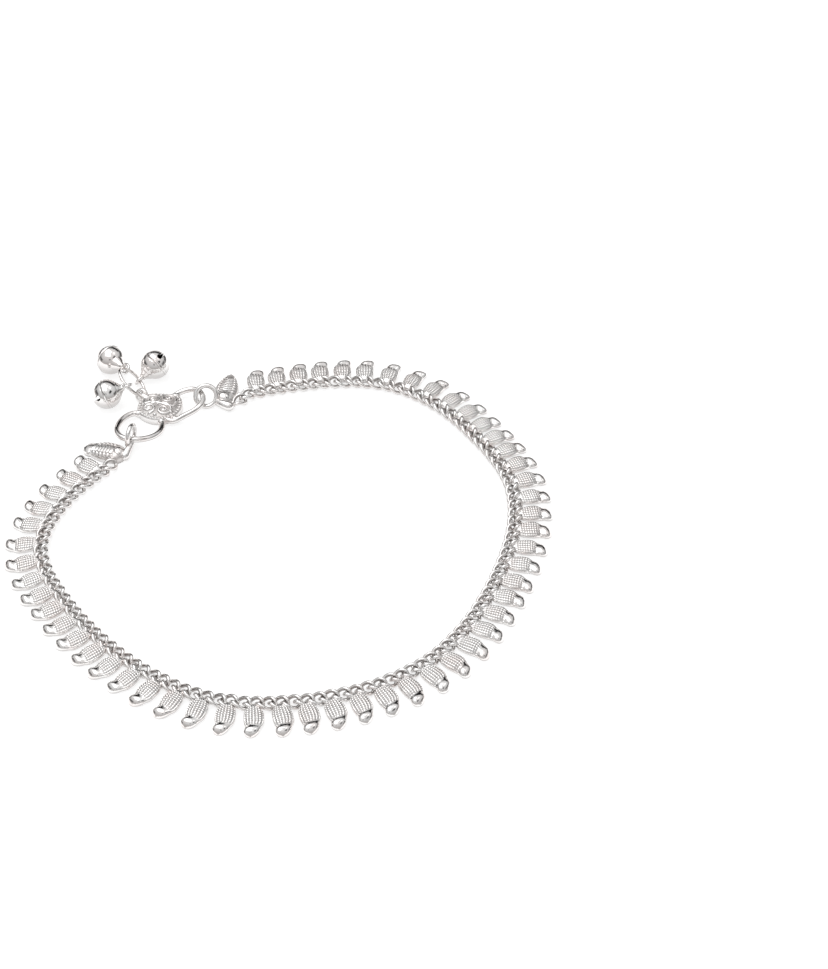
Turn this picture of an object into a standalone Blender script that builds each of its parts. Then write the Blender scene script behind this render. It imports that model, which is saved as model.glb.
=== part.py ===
# Silver payal anklet: a flexible curb chain with fifty-four mango (paisley)
# charms soldered along its outer edge, a leaf-shaped end piece with a jump
# ring at each end, a cast clasp with two wire loops, and three small round
# bells on a thin jump ring.  It lies closed and flat, as a loose loop.
#
# Frame: metres, +Z up.  X runs along the loop's width, the clasp and the bells
# are at the back left (-X, +Y).  The origin is the middle of the footprint, on
# the surface that the anklet lies on.  The tables below are in millimetres.
import math

import bmesh
import bpy
import numpy as np
from mathutils import Matrix, Vector

MM = 0.001                      # the tables are in millimetres
ORIGIN_AT = (0.212, -0.191)          # footprint centre, in the tables' own axes

# ---- chain ---------------------------------------------------------------
CHARM_PITCH = 4.4               # one charm on every second link of 2.2 mm
CHARMS = 54
CHARMS_PER_SECTION = 6
FIRST_CHARM_AT = 3.0            # along the chain, from its clasp end
CHAIN_START = 0.0
CHAIN_END = 237.4
CHAIN_TAIL = (                  # the free links past the last charm, bent to the cup
    # x,     y
    ( -8.6,  38.5),
    ( -9.5,  37.3),
    (-10.0,  36.6),
)
CHAIN_WIDTH = 2.6               # the curb chain lies on its flat side
CHAIN_HEIGHT = 1.9
CHAIN_STEP = 2.2                # one link
GAP = 0.3                       # between pieces that meet

# The way the chain lies: one row each three charms, anticlockwise from above,
# starting at the clasp.  lean is how far the charms there swing from square
# to the chain, anticlockwise, in degrees.
ROUTE = (
    # x,     y,     lean
    (-33.3,  18.1,   4.0),
    (-41.1,   7.4,   8.0),
    (-44.1,  -5.2,   3.0),
    (-39.1, -17.3,  -6.0),
    (-31.2, -27.9, -11.0),
    (-21.5, -36.7,  -9.0),
    ( -9.8, -42.8,   1.0),
    (  3.2, -43.7,   9.0),
    ( 16.1, -40.8,   6.0),
    ( 27.5, -34.3,   8.0),
    ( 35.6, -24.0,  10.0),
    ( 41.0, -12.0,   8.0),
    ( 44.3,   0.9,  12.0),
    ( 43.6,  14.0,   5.0),
    ( 37.8,  25.8,  -4.0),
    ( 29.7,  36.2,   0.0),
    ( 18.3,  42.6,   6.0),
    (  5.3,  42.6,  -4.0),
    ( -7.6,  39.6,  -9.0),
)
ROUTE_STEP = 13.2               # chain length between two rows

# ---- charm ---------------------------------------------------------------
# A mango seen from above, its back flat.  out: distance from the chain's
# centre line; curl: how far the outline has swung to the clockwise side.
CHARM = (
    # out, curl, half width, height
    (0.7,  0.00, 0.90, 1.05),
    (1.8,  0.00, 1.20, 1.20),
    (2.8, -0.05, 1.70, 1.40),
    (4.4, -0.05, 1.80, 1.50),
    (5.8,  0.15, 1.55, 1.50),
    (6.8,  0.45, 1.10, 1.25),
    (7.3,  0.60, 0.60, 0.80),
)
CHARM_LIFT = 0.4                # soldered a little below the chain's mid height

# ---- leaf-shaped end pieces ----------------------------------------------
# along: from the rounded end that cups the chain to the pointed tip, as a
# share of the leaf's length.
LEAF = (
    # along, half width, height
    (0.00, 0.80, 1.10),
    (0.07, 1.60, 1.80),
    (0.22, 2.25, 2.20),
    (0.42, 2.45, 2.30),
    (0.62, 2.15, 2.00),
    (0.82, 1.45, 1.70),
    (0.95, 0.90, 1.30),
    (1.00, 0.50, 0.90),
)
LEAF_LEFT = ((-31.0, 20.9), (-39.6, 23.4))      # cup end, tip
LEAF_RIGHT = ((-13.1, 36.5), (-11.7, 46.0))
CUP_FROM = (-14.1, 36.9, 1.15)  # round cup at the right leaf's base
CUP_TO = (-11.7, 35.5, 1.15)
CUP_R = 1.1
JUMP_RING_R = 2.1               # wire centre
JUMP_RING_WIRE = 0.5            # wire radius
RING_LEFT_AT = (-30.2, 24.75, 2.65)
RING_LEFT_AXIS = (0.97, -0.25, 0.0)
RING_RIGHT_AT = (-16.36, 37.57, 2.1)
RING_RIGHT_AXIS = (0.0, -0.737, 0.676)
BAIL_FROM = (-31.1, 20.6, 1.1)  # solder neck from the left leaf to its ring
BAIL_TO = (-30.15, 22.85, 1.9)
BAIL_R = 0.75

# ---- clasp ---------------------------------------------------------------
PLATE_TOP = 2.1
PLATE_ROUND = 0.35
PLATE = (                       # fan-like outline, anticlockwise from above
    # x,     y
    (-29.7,  33.2),
    (-28.4,  31.8),
    (-26.4,  30.9),
    (-24.2,  31.0),
    (-22.4,  32.1),
    (-21.3,  33.8),
    (-21.0,  35.8),
    (-21.7,  38.0),
    (-24.4,  38.9),
    (-27.9,  38.8),
    (-29.5,  37.1),
    (-30.0,  34.9),
)
WIRE_R = 0.6
D_LOOP = (                      # wire loop that holds the left ring
    # x,     y,    z
    (-28.6,  33.2, 1.10),
    (-30.8,  33.2, 1.15),
    (-32.5,  31.4, 1.35),
    (-33.3,  29.0, 1.65),
    (-33.2,  26.7, 1.95),
    (-32.1,  25.0, 2.10),
    (-30.2,  24.3, 2.15),
    (-28.2,  24.5, 2.00),
    (-26.3,  25.6, 1.65),
    (-25.0,  27.4, 1.30),
    (-24.6,  29.4, 1.10),
    (-25.0,  31.9, 1.10),
)
HOOK = (                        # wire loop that holds the right ring
    # x,     y,    z
    (-25.0,  36.8, 1.10),
    (-23.3,  38.3, 1.20),
    (-21.4,  39.7, 1.45),
    (-19.4,  40.0, 1.80),
    (-17.7,  39.0, 2.05),
    (-16.95, 37.3, 2.10),
    (-17.2,  35.2, 2.00),
    (-18.6,  33.4, 1.70),
    (-20.6,  32.1, 1.40),
    (-22.6,  31.0, 1.15),
    (-24.4,  31.9, 1.10),
)
EYELET_R = 1.05                 # wire centre of the eyelet at the plate's corner
EYELET_WIRE = 0.40

# ---- bells ---------------------------------------------------------------
BELL_RING_AT = (-31.47, 40.89, 3.06)
BELL_RING_AXIS = (0.733, 0.149, 0.664)
BELL_RING_R = 3.44
BELL_RING_WIRE = 0.35
EYELET_ANGLE = 222.0            # where the clasp's eyelet sits on the ring
BELL_R = 3.0
BELL_WALL = 0.4
BELL_SLOT = 0.7
BELL_EYE_R = 0.95
BELL_EYE_WIRE = 0.28
BELLS = (
    # x,      y,     z,    angle on the ring of its eye
    (-36.5,   47.9,  3.05,  24.0),
    (-27.3,   46.4,  3.05, 315.0),
    (-36.2,   37.0,  3.05, 146.0),
)

for old in list(bpy.data.objects):
    bpy.data.objects.remove(old, do_unlink=True)


def collection(name):
    coll = bpy.data.collections.new(name)
    bpy.context.scene.collection.children.link(coll)
    return coll


PARTS = collection("anklet")
CUTTERS = collection("cutters")


def silver(name, rough):
    mat = bpy.data.materials.new(name)
    mat.use_nodes = True
    shader = mat.node_tree.nodes["Principled BSDF"]
    shader.inputs["Base Color"].default_value = (0.90, 0.88, 0.87, 1.0)
    shader.inputs["Metallic"].default_value = 1.0
    shader.inputs["Roughness"].default_value = rough
    return mat


def point(x, y, z=0.0):
    """A place in the tables, as a vector in metres in the part's frame."""
    return Vector(((x - ORIGIN_AT[0]) * MM, (y - ORIGIN_AT[1]) * MM, z * MM))


def mesh_object(name, bm, coll):
    bmesh.ops.recalc_face_normals(bm, faces=bm.faces[:])
    mesh = bpy.data.meshes.new(name)
    bm.to_mesh(mesh)
    bm.free()
    obj = bpy.data.objects.new(name, mesh)
    coll.objects.link(obj)
    if coll is CUTTERS:
        obj.hide_render = True
        obj.display_type = 'WIRE'
    return obj


def finish(obj, rough):
    """Own material, and smooth shading with the real edges kept."""
    obj.data.materials.clear()
    obj.data.materials.append(silver(obj.name + "_silver", rough))
    obj.data.shade_smooth()
    obj.data.set_sharp_from_angle(angle=math.radians(40.0))


def boolean(obj, other, operation):
    mod = obj.modifiers.new(operation.lower() + "_" + other.name, 'BOOLEAN')
    mod.operation = operation
    mod.object = other
    mod.solver = 'EXACT'


def as_mesh(obj, coll=None):
    """The evaluated object as a plain mesh object of the same name."""
    deps = bpy.context.evaluated_depsgraph_get()
    mesh = bpy.data.meshes.new_from_object(obj.evaluated_get(deps))
    name, place = obj.name, obj.matrix_world.copy()
    bpy.data.objects.remove(obj, do_unlink=True)
    bm = bmesh.new()
    bm.from_mesh(mesh)
    bmesh.ops.remove_doubles(bm, verts=bm.verts[:], dist=0.00001)
    bm.transform(place)
    return mesh_object(name, bm, coll or PARTS)


# ---- the chain's route ---------------------------------------------------
def natural_spline(values):
    """Second derivatives of the natural cubic through evenly spaced rows."""
    n = len(values)
    a = np.zeros((n, n))
    b = np.zeros(n)
    a[0, 0] = a[-1, -1] = 1.0
    for i in range(1, n - 1):
        a[i, i - 1:i + 2] = (1.0, 4.0, 1.0)
        b[i] = 6.0 * (values[i + 1] - 2.0 * values[i] + values[i - 1])
    return np.linalg.solve(a, b)


class Smooth:
    """A smooth line through a table's rows, read by distance along it."""

    def __init__(self, rows):
        self.rows = np.array(rows, dtype=float)
        self.second = np.array([natural_spline(c) for c in self.rows.T]).T
        u = np.linspace(-0.3, len(rows) - 0.7, 200 * len(rows))
        pts = np.array([self.at(t) for t in u])
        step = np.hypot(*np.diff(pts[:, :2], axis=0).T) if pts.shape[1] == 2 \
            else np.sqrt((np.diff(pts[:, :3], axis=0) ** 2).sum(axis=1))
        self.u = u
        self.s = np.concatenate([[0.0], np.cumsum(step)])
        self.s -= np.interp(0.0, self.u, self.s)
        self.length = float(np.interp(len(rows) - 1.0, self.u, self.s))

    def at(self, t):
        i = int(min(max(math.floor(t), 0), len(self.rows) - 2))
        f = t - i
        p, q = self.rows[i], self.rows[i + 1]
        m, n = self.second[i], self.second[i + 1]
        g = 1.0 - f
        return g * p + f * q + ((g ** 3 - g) * m + (f ** 3 - f) * n) / 6.0

    def point(self, s):
        return self.at(float(np.interp(s, self.s, self.u)))

    def heading(self, s):
        d = self.point(s + 0.2) - self.point(s - 0.2)
        return math.atan2(d[1], d[0])


CHAIN = Smooth([row[:2] for row in ROUTE])
# The rows are one ROUTE_STEP apart along the chain to within a few tenths,
# so a distance along the line is scaled to the chain's own length.
STRETCH = CHAIN.length / (ROUTE_STEP * (len(ROUTE) - 1))


def chain_at(s):
    """Place and heading of the chain's centre line, s millimetres along it."""
    p = CHAIN.point(s * STRETCH)
    return p[0], p[1], CHAIN.heading(s * STRETCH)


def lean_at(s):
    rows = [math.radians(row[2]) for row in ROUTE]
    return float(np.interp(s / ROUTE_STEP, range(len(rows)), rows))


# ---- building blocks -----------------------------------------------------
def tube(name, points, radius, coll=None):
    """A wire or chain along its points, with filled ends, as a mesh."""
    curve = bpy.data.curves.new(name, 'CURVE')
    curve.dimensions = '3D'
    curve.bevel_depth = radius * MM
    curve.bevel_resolution = 2
    curve.use_fill_caps = True
    spline = curve.splines.new('POLY')
    spline.points.add(len(points) - 1)
    for knot, p in zip(spline.points, points):
        knot.co = (*point(*p), 1.0)
    obj = bpy.data.objects.new(name, curve)
    (coll or PARTS).objects.link(obj)
    return as_mesh(obj, coll)


def torus(name, centre, axis, radius, wire, around, coll):
    bpy.ops.mesh.primitive_torus_add(
        major_segments=around, minor_segments=8,
        major_radius=radius * MM, minor_radius=wire * MM)
    obj = bpy.context.active_object
    obj.name = name
    place = Vector(axis).to_track_quat('Z', 'Y').to_matrix().to_4x4()
    obj.matrix_world = Matrix.Translation(centre) @ place
    for other in list(obj.users_collection):
        other.objects.unlink(obj)
    coll.objects.link(obj)
    if coll is CUTTERS:
        obj.hide_render = True
        obj.display_type = 'WIRE'
    return obj


def loft(bm, rows, place):
    """A closed, flat-backed body through cross-sections.

    rows: along, sideways shift, half width, height.  place: along-axis X,
    sideways Y, up Z.
    """
    rings = []
    for along, shift, half, height in rows:
        section = ((-0.82 * half, 0.0), (0.82 * half, 0.0),
                   (half, 0.55 * height), (0.5 * half, height),
                   (-0.5 * half, height), (-half, 0.55 * height))
        rings.append([bm.verts.new(place @ Vector((along * MM, (shift + v) * MM, z * MM)))
                      for v, z in section])
    for a, b in zip(rings, rings[1:]):
        for i in range(len(a)):
            j = (i + 1) % len(a)
            bm.faces.new((a[i], a[j], b[j], b[i]))
    bm.faces.new(rings[0][::-1])
    bm.faces.new(rings[-1])


def leaf(bm, ends):
    (x0, y0), (x1, y1) = ends
    length = math.hypot(x1 - x0, y1 - y0)
    place = Matrix.Translation(point(x0, y0)) @ Matrix.Rotation(
        math.atan2(y1 - y0, x1 - x0), 4, 'Z')
    loft(bm, [(a * length, 0.0, w, h) for a, w, h in LEAF], place)


# ---- chain sections, each with its six charms ----------------------------
def charm_place(number):
    """Frame of a charm: X out from the chain, Y to the clockwise side."""
    s = FIRST_CHARM_AT + CHARM_PITCH * number
    x, y, heading = chain_at(s)
    out = heading - math.pi / 2.0 + lean_at(s)
    turn = Matrix.Rotation(out, 4, 'Z') @ Matrix.Scale(-1.0, 4, (0, 1, 0))
    return Matrix.Translation(point(x, y, CHARM_LIFT)) @ turn


def chain_section(number):
    first = number * CHARMS_PER_SECTION
    last = first + CHARMS_PER_SECTION - 1
    half = CHARM_PITCH / 2.0
    s0 = FIRST_CHARM_AT + CHARM_PITCH * first - half + GAP / 2.0
    s1 = FIRST_CHARM_AT + CHARM_PITCH * last + half - GAP / 2.0
    if first == 0:
        s0 = CHAIN_START
    if last == CHARMS - 1:
        s1 = CHAIN_END
    count = max(2, round((s1 - s0) / CHAIN_STEP))
    points = []
    for i in range(count + 1):
        x, y, _ = chain_at(s0 + (s1 - s0) * i / count)
        points.append((x, y, 0.0))
    if last == CHARMS - 1:
        points += [(x, y, 0.0) for x, y in CHAIN_TAIL]
    name = "chain_%d" % (number + 1)
    obj = tube(name, points, CHAIN_WIDTH / 2.0)
    flat = Matrix.Translation((0.0, 0.0, CHAIN_HEIGHT / 2.0 * MM)) \
        @ Matrix.Scale(CHAIN_HEIGHT / CHAIN_WIDTH, 4, (0, 0, 1))
    obj.data.transform(flat)
    bm = bmesh.new()
    for i in range(first, last + 1):
        loft(bm, CHARM, charm_place(i))
    charms = mesh_object("charms_%d" % (number + 1), bm, CUTTERS)
    boolean(obj, charms, 'UNION')
    finish(obj, 0.32)
    return obj


for k in range(CHARMS // CHARMS_PER_SECTION):
    chain_section(k)

# ---- end pieces, each one solid with its jump ring -----------------------
bm = bmesh.new()
leaf(bm, LEAF_LEFT)
leaf_left = mesh_object("leaf_end_left", bm, PARTS)
ring_left = torus("ring_left", point(*RING_LEFT_AT), RING_LEFT_AXIS,
                  JUMP_RING_R, JUMP_RING_WIRE, 20, CUTTERS)
bail = tube("bail_left", (BAIL_FROM, BAIL_TO), BAIL_R, CUTTERS)
boolean(leaf_left, bail, 'UNION')
boolean(leaf_left, ring_left, 'UNION')
finish(leaf_left, 0.35)

bm = bmesh.new()
leaf(bm, LEAF_RIGHT)
leaf_right = mesh_object("leaf_end_right", bm, PARTS)
ring_right = torus("ring_right", point(*RING_RIGHT_AT), RING_RIGHT_AXIS,
                   JUMP_RING_R, JUMP_RING_WIRE, 20, CUTTERS)
boolean(leaf_right, tube("cup_right", (CUP_FROM, CUP_TO), CUP_R, CUTTERS), 'UNION')
boolean(leaf_right, ring_right, 'UNION')
finish(leaf_right, 0.35)

# ---- clasp: cast plate, two wire loops and an eyelet, soldered -----------
outline = bpy.data.curves.new("clasp", 'CURVE')
outline.dimensions = '2D'
outline.fill_mode = 'BOTH'
outline.extrude = (PLATE_TOP / 2.0 - PLATE_ROUND) * MM
outline.bevel_depth = PLATE_ROUND * MM
outline.bevel_resolution = 1
outline.resolution_u = 3
edge = outline.splines.new('BEZIER')
edge.bezier_points.add(len(PLATE) - 1)
for knot, (x, y) in zip(edge.bezier_points, PLATE):
    knot.co = point(x, y)
    knot.handle_left_type = knot.handle_right_type = 'AUTO'
edge.use_cyclic_u = True
clasp = bpy.data.objects.new("clasp", outline)
PARTS.objects.link(clasp)
clasp.location = (0.0, 0.0, PLATE_TOP / 2.0 * MM)
bpy.context.view_layer.update()
clasp = as_mesh(clasp)


def wire(name, rows):
    line = Smooth(rows)
    count = round(line.length / (2.0 * WIRE_R))
    points = [line.point(line.length * i / count) for i in range(count + 1)]
    return tube(name, points, WIRE_R, CUTTERS)


def ring_frame():
    """Centre, two directions in the bell ring's plane, and its axis."""
    axis = Vector(BELL_RING_AXIS).normalized()
    level = Vector((0.0, 0.0, 1.0)).cross(axis).normalized()
    return point(*BELL_RING_AT), level, axis.cross(level), axis


def on_bell_ring(angle):
    """Point and direction of the bell ring's wire at an angle round it."""
    centre, level, rise, _ = ring_frame()
    a = math.radians(angle)
    return (centre + (level * math.cos(a) + rise * math.sin(a)) * BELL_RING_R * MM,
            rise * math.cos(a) - level * math.sin(a))


boolean(clasp, wire("d_loop", D_LOOP), 'UNION')
boolean(clasp, wire("hook", HOOK), 'UNION')
eyelet_at, eyelet_axis = on_bell_ring(EYELET_ANGLE)
boolean(clasp, torus("eyelet", eyelet_at, eyelet_axis, EYELET_R, EYELET_WIRE,
                     16, CUTTERS), 'UNION')
finish(clasp, 0.30)

# ---- bells on their jump ring --------------------------------------------
ring = torus("bell_ring", ring_frame()[0], ring_frame()[3],
             BELL_RING_R, BELL_RING_WIRE, 28, PARTS)
ring.data.transform(ring.matrix_world)
ring.matrix_world = Matrix.Identity(4)
finish(ring, 0.25)


def ball(name, radius, place, coll):
    bm = bmesh.new()
    bmesh.ops.create_uvsphere(bm, u_segments=14, v_segments=8, radius=radius * MM,
                              matrix=place)
    return mesh_object(name, bm, coll)


def bell(number, x, y, z, angle):
    """A hollow ball with a slot opposite its eye, which rides on the ring."""
    centre = point(x, y, z)
    eye, along_ring = on_bell_ring(angle)
    up = (eye - centre).normalized()
    side = (along_ring - up * along_ring.dot(up)).normalized()
    across = up.cross(side)
    turn = Matrix((side, across, up)).transposed().to_4x4()
    place = Matrix.Translation(centre) @ turn
    name = "bell_%d" % number
    body = ball(name, BELL_R, place, PARTS)
    bm = bmesh.new()
    reach = (eye - centre).length / MM - BELL_EYE_R
    low, high = BELL_R - 0.55, reach + 0.15
    bmesh.ops.create_cone(bm, cap_ends=True, segments=10, radius1=1.25 * MM,
                          radius2=0.5 * MM, depth=(high - low) * MM,
                          matrix=place @ Matrix.Translation((0, 0, (low + high) / 2.0 * MM)))
    boolean(body, mesh_object(name + "_neck", bm, CUTTERS), 'UNION')
    boolean(body, torus(name + "_eye", eye, side, BELL_EYE_R, BELL_EYE_WIRE,
                        12, CUTTERS), 'UNION')
    boolean(body, ball(name + "_hollow", BELL_R - BELL_WALL, place, CUTTERS), 'DIFFERENCE')
    bm = bmesh.new()
    bmesh.ops.create_cube(bm, size=1.0, matrix=place @ Matrix.Translation(
        (0, 0, -0.62 * BELL_R * MM)) @ Matrix.Diagonal(
        (BELL_SLOT * MM, 2.4 * BELL_R * MM, 1.0 * BELL_R * MM, 1.0)))
    boolean(body, mesh_object(name + "_slot", bm, CUTTERS), 'DIFFERENCE')
    finish(body, 0.22)


for k, row in enumerate(BELLS):
    bell(k + 1, *row)
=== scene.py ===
# Looks for a silver payal anklet: curb chain links, mango charms, leaf ends,
# cast clasp and round bells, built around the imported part, in its own frame.
import math

import bmesh
import bpy
import numpy as np
from mathutils import Matrix, Vector


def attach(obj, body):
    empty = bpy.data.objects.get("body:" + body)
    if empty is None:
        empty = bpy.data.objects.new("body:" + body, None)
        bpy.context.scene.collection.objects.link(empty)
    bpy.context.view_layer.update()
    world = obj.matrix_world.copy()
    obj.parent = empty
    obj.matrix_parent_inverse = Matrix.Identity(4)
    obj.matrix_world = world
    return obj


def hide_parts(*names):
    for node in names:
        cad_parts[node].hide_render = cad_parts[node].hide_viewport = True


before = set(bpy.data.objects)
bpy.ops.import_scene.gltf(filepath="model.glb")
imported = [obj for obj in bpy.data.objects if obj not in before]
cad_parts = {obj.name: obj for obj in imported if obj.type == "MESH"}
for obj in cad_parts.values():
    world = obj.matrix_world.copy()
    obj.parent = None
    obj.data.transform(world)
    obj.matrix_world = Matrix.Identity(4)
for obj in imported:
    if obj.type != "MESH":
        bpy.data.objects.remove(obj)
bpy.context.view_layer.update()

MM = 0.001
ORIGIN_AT = np.array([0.212, -0.191, 0.0])      # as in the part's own tables
rng = np.random.default_rng(11)


# ==========================================================================
# camera
# ==========================================================================
ELEVATION = math.radians(42.5)
DISTANCE = 430.0
LOOK_AT = np.array([25.5, 13.5, 0.0]) - ORIGIN_AT

cam_data = bpy.data.cameras.new("camera")
cam_data.sensor_fit = 'HORIZONTAL'
cam_data.sensor_width = 36.0
cam_data.lens = 2217.6 * 36.0 / 828.0
cam_data.clip_start = 0.01
cam_data.clip_end = 50.0
camera = bpy.data.objects.new("camera", cam_data)
bpy.context.scene.collection.objects.link(camera)
camera.location = Vector((LOOK_AT + DISTANCE * np.array(
    [0.0, -math.cos(ELEVATION), math.sin(ELEVATION)])) * MM)
camera.rotation_euler = (math.pi / 2.0 - ELEVATION, 0.0, 0.0)
bpy.context.scene.camera = camera


# ==========================================================================
# curves in tables
# ==========================================================================
def spline_through(x, y):
    """Natural cubic through (x, y); y may have several columns."""
    x = np.asarray(x, float)
    y = np.asarray(y, float)
    y2 = y.reshape(len(x), -1)
    n = len(x)
    h = np.diff(x)
    a = np.zeros((n, n))
    b = np.zeros_like(y2)
    a[0, 0] = a[-1, -1] = 1.0
    for i in range(1, n - 1):
        a[i, i - 1] = h[i - 1]
        a[i, i] = 2.0 * (h[i - 1] + h[i])
        a[i, i + 1] = h[i]
        b[i] = 6.0 * ((y2[i + 1] - y2[i]) / h[i] - (y2[i] - y2[i - 1]) / h[i - 1])
    m = np.linalg.solve(a, b)

    def read(t):
        t = np.asarray(t, float)
        i = np.clip(np.searchsorted(x, t) - 1, 0, n - 2)
        hi = h[i][..., None]
        f = ((t - x[i]) / h[i])[..., None]
        g = 1.0 - f
        out = g * y2[i] + f * y2[i + 1] + (hi ** 2) * (
            (g ** 3 - g) * m[i] + (f ** 3 - f) * m[i + 1]) / 6.0
        return out if y.ndim > 1 else out[..., 0]
    return read


def line_through(points, count):
    """count points evenly spaced along a smooth line through the rows."""
    p = np.asarray(points, float)
    t = np.concatenate([[0.0], np.cumsum(np.linalg.norm(np.diff(p, axis=0), axis=1))])
    curve = spline_through(t, p)
    fine = curve(np.linspace(0.0, t[-1], 2000))
    s = np.concatenate([[0.0], np.cumsum(np.linalg.norm(np.diff(fine, axis=0), axis=1))])
    at = np.linspace(0.0, s[-1], count)
    return np.stack([np.interp(at, s, fine[:, k]) for k in range(fine.shape[1])], 1)


def smooth_step(a, b, x):
    t = np.clip((np.asarray(x, float) - a) / (b - a), 0.0, 1.0)
    return t * t * (3.0 - 2.0 * t)


def unit(v):
    v = np.asarray(v, float)
    return v / np.linalg.norm(v, axis=-1, keepdims=True)


# ==========================================================================
# meshes from arrays
# ==========================================================================
class Shape:
    """Vertices in millimetres in the tables' axes, quads, triangles, and two
    numbers per vertex: crev (painted shade, partly tarnish, in hollows, creases
    and undersides) and polish (rubbed bright)."""

    def __init__(self, v, quads=(), tris=(), crev=None, polish=None):
        self.v = np.asarray(v, float)
        self.q = np.asarray(quads, np.int64).reshape(-1, 4)
        self.t = np.asarray(tris, np.int64).reshape(-1, 3)
        n = len(self.v)
        self.crev = np.zeros(n) if crev is None else np.asarray(crev, float).reshape(n)
        self.polish = np.full(n, 0.5) if polish is None else np.asarray(polish, float).reshape(n)

    def volume(self):
        tris = np.concatenate([self.t, self.q[:, [0, 1, 2]], self.q[:, [0, 2, 3]]])
        a, b, c = (self.v[tris[:, k]] for k in range(3))
        return float(np.einsum('ij,ij->i', a, np.cross(b, c)).sum()) / 6.0

    def outward(self):
        if self.volume() < 0.0:
            self.q = self.q[:, ::-1]
            self.t = self.t[:, ::-1]
        return self

    def moved(self, fn):
        return Shape(fn(self.v), self.q, self.t, self.crev, self.polish)


def joined(shapes):
    base, v, q, t, c, p = 0, [], [], [], [], []
    for s in shapes:
        v.append(s.v)
        q.append(s.q + base)
        t.append(s.t + base)
        c.append(s.crev)
        p.append(s.polish)
        base += len(s.v)
    return Shape(np.concatenate(v), np.concatenate(q), np.concatenate(t),
                 np.concatenate(c), np.concatenate(p))


def normals(shape):
    """Area-weighted vertex normals."""
    out = np.zeros_like(shape.v)
    tris = np.concatenate([shape.t, shape.q[:, [0, 1, 2]], shape.q[:, [0, 2, 3]]])
    a, b, c = (shape.v[tris[:, k]] for k in range(3))
    face = np.cross(b - a, c - a)
    for k in range(3):
        np.add.at(out, tris[:, k], face)
    return out / np.maximum(np.linalg.norm(out, axis=1, keepdims=True), 1e-12)


def piece(name, shape, nodes, material, sharp=None):
    me = bpy.data.meshes.new(name)
    co = (shape.v - ORIGIN_AT) * MM
    faces = [tuple(f) for f in shape.q.tolist()] + [tuple(f) for f in shape.t.tolist()]
    me.from_pydata(co.tolist(), [], faces)
    for key, values in (("crev", shape.crev), ("polish", shape.polish)):
        att = me.attributes.new(key, 'FLOAT', 'POINT')
        att.data.foreach_set("value", np.clip(values, 0.0, 1.0).astype(np.float32))
    # side: painted shade on surfaces that face sideways and down, taken from the vertex normals; the silver
    # material darkens its colour there
    side = me.attributes.new("side", 'FLOAT', 'POINT')
    side.data.foreach_set("value", smooth_step(0.40, -0.25, normals(shape)[:, 2]).astype(np.float32))
    me.shade_smooth()
    if sharp is not None:
        me.set_sharp_from_angle(angle=math.radians(sharp))
    me.validate()
    me.materials.append(material)
    obj = bpy.data.objects.new(name, me)
    bpy.context.scene.collection.objects.link(obj)
    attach(obj, "root")
    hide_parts(*nodes)
    return obj


def rings_to_shape(rings, closed=False, caps=True, crev=None, polish=None):
    """Closed cross-sections (rows, points, 3), lofted in order."""
    rings = np.asarray(rings, float)
    n, k, _ = rings.shape
    idx = np.arange(n * k).reshape(n, k)
    nxt = np.roll(idx, -1, axis=1)
    rows = n if closed else n - 1
    q = []
    for i in range(rows):
        j = (i + 1) % n
        q.append(np.stack([idx[i], nxt[i], nxt[j], idx[j]], 1))
    q = np.concatenate(q)
    v = rings.reshape(-1, 3)
    cr = np.zeros(n * k) if crev is None else np.asarray(crev, float).reshape(-1)
    po = np.full(n * k, 0.5) if polish is None else np.asarray(polish, float).reshape(-1)
    t = np.zeros((0, 3), np.int64)
    if not closed and caps:
        mids = np.stack([rings[0].mean(0), rings[-1].mean(0)])
        v = np.concatenate([v, mids])
        a, b = n * k, n * k + 1
        t = np.concatenate([
            np.stack([np.full(k, a), nxt[0], idx[0]], 1),
            np.stack([np.full(k, b), idx[-1], nxt[-1]], 1)])
        cr = np.concatenate([cr, [cr[:k].mean(), cr[-k:].mean()]])
        po = np.concatenate([po, [po[:k].mean(), po[-k:].mean()]])
    return Shape(v, q, t, cr, po).outward()


def sweep(points, radius, sides=14, closed=False, up=(0, 0, 1), wide=1.0, crev=None,
          polish=0.8, round_ends=False):
    """A wire along its points, with frames carried along without twist."""
    p = np.asarray(points, float)
    if round_ends and not closed:
        t0, t1 = unit(p[0] - p[1]), unit(p[-1] - p[-2])
        r0 = float(np.atleast_1d(radius)[0])
        r1 = float(np.atleast_1d(radius)[-1])
        steps = np.array([0.98, 0.85, 0.6, 0.3])
        head = np.array([p[0] + t0 * r0 * s for s in steps])
        tail = np.array([p[-1] + t1 * r1 * s for s in steps[::-1]])
        rad = np.broadcast_to(np.asarray(radius, float), (len(p),))
        shrink = np.sqrt(1.0 - steps ** 2)
        p = np.concatenate([head, p, tail])
        radius = np.concatenate([shrink * r0, rad, (shrink * r1)[::-1]])
    n = len(p)
    rad = np.broadcast_to(np.asarray(radius, float), (n,))
    if closed:
        tan = unit(np.roll(p, -1, axis=0) - np.roll(p, 1, axis=0))
        centre = p.mean(0)
        nor = p - centre
        nor = unit(nor - tan * (nor * tan).sum(1, keepdims=True))
    else:
        tan = unit(np.gradient(p, axis=0))
        nor = np.zeros_like(p)
        first = np.cross(tan[0], np.asarray(up, float))
        if np.linalg.norm(first) < 1e-3:
            first = np.cross(tan[0], [1.0, 0.0, 0.0])
        nor[0] = unit(first)
        for i in range(1, n):
            m = nor[i - 1] - tan[i] * np.dot(nor[i - 1], tan[i])
            nor[i] = unit(m)
    bi = np.cross(tan, nor)
    a = np.linspace(0.0, 2.0 * math.pi, sides, endpoint=False)
    rings = p[:, None] + rad[:, None, None] * (
        np.cos(a)[None, :, None] * nor[:, None] * wide + np.sin(a)[None, :, None] * bi[:, None])
    cr = np.zeros((n, sides)) if crev is None else crev(np.broadcast_to(a, (n, sides)), rings)
    return rings_to_shape(rings, closed=closed, crev=cr, polish=np.full((n, sides), polish))


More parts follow.
